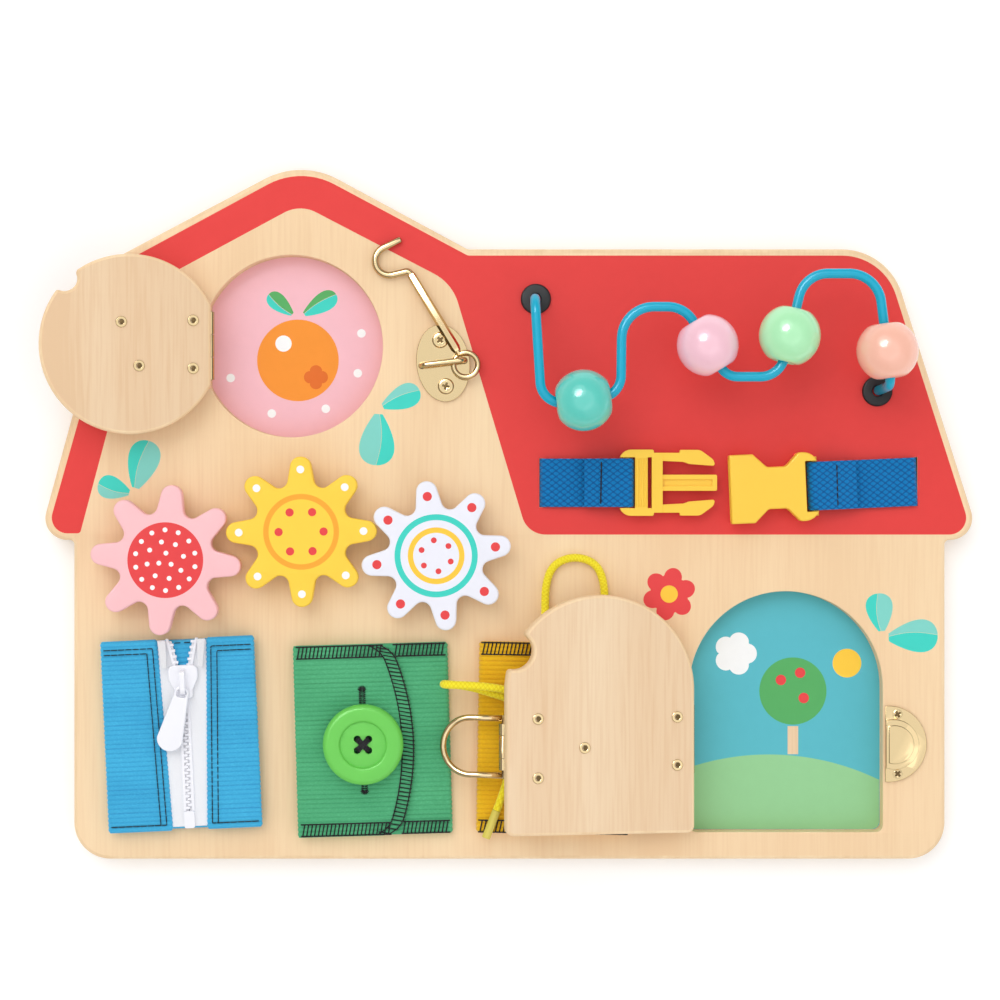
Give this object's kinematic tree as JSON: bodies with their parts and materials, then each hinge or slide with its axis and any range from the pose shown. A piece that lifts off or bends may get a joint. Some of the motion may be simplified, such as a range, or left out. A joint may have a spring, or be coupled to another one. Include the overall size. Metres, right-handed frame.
{
  "type": "busy board",
  "caption": "House-shaped wooden toddler activity board with hinged doors, hook, hasp, meshing gears, bead wire, buckle, zip, button and lacing.",
  "frame": {"origin": "centre of the bounding rectangle of the board's back face", "axes": "+X along the house's base to the right, +Y up the house towards the roof, +Z out of the board's front"},
  "size_m": [0.3835, 0.285, 0.0505],
  "materials": {
    "wood_board": "clear matt lacquer with printed roof",
    "wood_back": "matt",
    "door_wood": "matt",
    "brass": "bright",
    "steel": "satin",
    "axle_steel": "satin",
    "pink_gear_print": "printed, satin",
    "yellow_gear_print": "printed, satin",
    "white_gear_print": "printed, satin",
    "wire_paint": "gloss",
    "black_rubber": "matt",
    "teal_paint": "gloss lacquer",
    "pink_paint": "gloss lacquer",
    "green_paint": "gloss lacquer",
    "peach_paint": "gloss lacquer",
    "blue_cord": "corduroy",
    "green_cord": "corduroy",
    "mustard_cord": "corduroy",
    "zip_tape": "woven tape",
    "zip_plastic": "moulded",
    "zip_metal": "enamel",
    "lace_yellow": "braided",
    "aglet_plastic": "clear sleeve",
    "button_green": "gloss",
    "thread_black": "twisted thread",
    "buckle_yellow": "satin moulded",
    "webbing_blue": "woven webbing"
  },
  "bodies": {
    "board": {"front_board": "wood_board", "back_board": "wood_back", "back_screws": "steel", "round_hinge_board_leaf": "brass", "arched_hinge_board_leaf": "brass", "hinge_pins": "brass", "brass_screws": "brass", "hook_plate": "brass", "hook_arch": "brass", "keeper_plate": "brass", "grommets": "black_rubber", "maze_wire": "wire_paint", "wire_push_nuts": "steel", "gear_spacers": "steel", "blue_band": "blue_cord", "green_band": "green_cord", "mustard_band": "mustard_cord", "zip_tapes": "zip_tape", "zip_teeth": "zip_plastic", "zip_bottom_stop": "zip_plastic", "lace_eyelets": "steel", "lace_crossing": "lace_yellow", "lace_knot": "lace_yellow", "lace_loop_top": "lace_yellow", "lace_loop_left": "lace_yellow", "lace_end_left": "lace_yellow", "lace_end_right": "lace_yellow", "aglets": "aglet_plastic", "strap_tails": "webbing_blue"},
    "round_door": {"round_door": "door_wood", "round_hinge_door_leaf": "brass", "door_eye_plate": "brass", "door_eye_arch": "brass", "round_door_screws": "brass", "round_door_sleeve_nuts": "brass"},
    "arched_door": {"arched_door": "door_wood", "arched_hinge_door_leaf": "brass", "hasp_plate": "brass", "arched_door_screws": "brass", "arched_door_sleeve_nuts": "brass"},
    "hasp_loop": {"hasp_loop": "brass"},
    "hook": {"hook": "brass"},
    "pink_gear": {"pink_gear": "pink_gear_print", "pink_gear_axle": "axle_steel"},
    "yellow_gear": {"yellow_gear": "yellow_gear_print", "yellow_gear_axle": "axle_steel"},
    "white_gear": {"white_gear": "white_gear_print", "white_gear_axle": "axle_steel"},
    "teal_bead": {"teal_bead": "teal_paint"},
    "pink_bead": {"pink_bead": "pink_paint"},
    "green_bead": {"green_bead": "green_paint"},
    "peach_bead": {"peach_bead": "peach_paint"},
    "zip_slider": {"zip_slider": "zip_metal"},
    "zip_pull": {"zip_pull": "zip_metal"},
    "button": {"button": "button_green", "button_thread": "thread_black"},
    "left_strap": {"left_strap": "webbing_blue"},
    "right_strap": {"right_strap": "webbing_blue"},
    "buckle_male": {"buckle_male": "buckle_yellow"},
    "buckle_female": {"buckle_female": "buckle_yellow"}
  },
  "joints": [
    {"name": "round_door_hinge", "type": "hinge", "parent": "board", "child": "round_door", "pos_m": [-0.1233, 0.0695, 0.0127], "axis": [0, 1, 0], "range_deg": [0, 169.5]},
    {"name": "arched_door_hinge", "type": "hinge", "parent": "board", "child": "arched_door", "pos_m": [0.0748, -0.0926, 0.0127], "axis": [0, 1, 0], "range_deg": [0, 170.7]},
    {"name": "hasp_loop_hinge", "type": "hinge", "parent": "arched_door", "child": "hasp_loop", "pos_m": [-0.00242, -0.09485, 0.02443], "axis": [0, 1, 0], "range_deg": [0, 24]},
    {"name": "hook_swing", "type": "hinge", "parent": "board", "child": "hook", "pos_m": [-0.01862, 0.06348, 0.015], "axis": [0, 0, 1], "range_deg": [-60, 55]},
    {"name": "yellow_gear_turn", "type": "hinge", "parent": "board", "child": "yellow_gear", "pos_m": [-0.0852, -0.0071, 0.0155], "axis": [0, 0, 1], "continuous": true},
    {"name": "pink_gear_turn", "type": "hinge", "parent": "board", "child": "pink_gear", "pos_m": [-0.1407, -0.0187, 0.0155], "axis": [0, 0, 1], "continuous": true},
    {"name": "white_gear_turn", "type": "hinge", "parent": "board", "child": "white_gear", "pos_m": [-0.03, -0.0169, 0.0155], "axis": [0, 0, 1], "continuous": true},
    {"name": "teal_bead_slide", "type": "slide", "parent": "board", "child": "teal_bead", "axis": [0.9893, 0.1458, 0], "range_m": [-0.0013, 0.0015]},
    {"name": "pink_bead_slide", "type": "slide", "parent": "board", "child": "pink_bead", "axis": [0.514, -0.8578, 0], "range_m": [-0.0042, 0.0038]},
    {"name": "green_bead_slide", "type": "slide", "parent": "board", "child": "green_bead", "axis": [0.2337, 0.9723, 0], "range_m": [-0.0035, 0.0045]},
    {"name": "peach_bead_slide", "type": "slide", "parent": "board", "child": "peach_bead", "axis": [0.1259, -0.992, 0], "range_m": [-0.0078, 0]},
    {"name": "zip_slide", "type": "slide", "parent": "board", "child": "zip_slider", "axis": [-0.0454, 0.999, 0], "range_m": [-0.04, 0.008], "deforming": ["zip_tapes", "zip_teeth"]},
    {"name": "zip_pull_hinge", "type": "hinge", "parent": "zip_slider", "child": "zip_pull", "pos_m": [-0.13396, -0.07143, 0.01905], "axis": [-0.9686, 0.2487, 0], "range_deg": [0, 90]},
    {"name": "button_tilt", "type": "hinge", "parent": "board", "child": "button", "pos_m": [-0.06, -0.0943, 0.017], "axis": [1, 0, 0], "range_deg": [-5, 5]},
    {"name": "left_strap_lift", "type": "hinge", "parent": "board", "child": "left_strap", "pos_m": [0.0133, 0.013, 0.012], "axis": [0, -1, 0], "range_deg": [0, 80]},
    {"name": "male_buckle_swing", "type": "hinge", "parent": "left_strap", "child": "buckle_male", "pos_m": [0.0483, 0.013, 0.0155], "axis": [0, -1, 0], "range_deg": [0, 60]},
    {"name": "right_strap_lift", "type": "hinge", "parent": "board", "child": "right_strap", "pos_m": [0.1676, 0.01346, 0.012], "axis": [-0.0436, 0.999, 0], "range_deg": [0, 80]},
    {"name": "female_buckle_swing", "type": "hinge", "parent": "right_strap", "child": "buckle_female", "pos_m": [0.12547, 0.01162, 0.0155], "axis": [-0.0436, 0.999, 0], "range_deg": [0, 60]}
  ],
  "couplings": [
    {"joint": "pink_gear_turn", "follows": "yellow_gear_turn", "ratio": -1},
    {"joint": "white_gear_turn", "follows": "yellow_gear_turn", "ratio": -1}
  ]
}
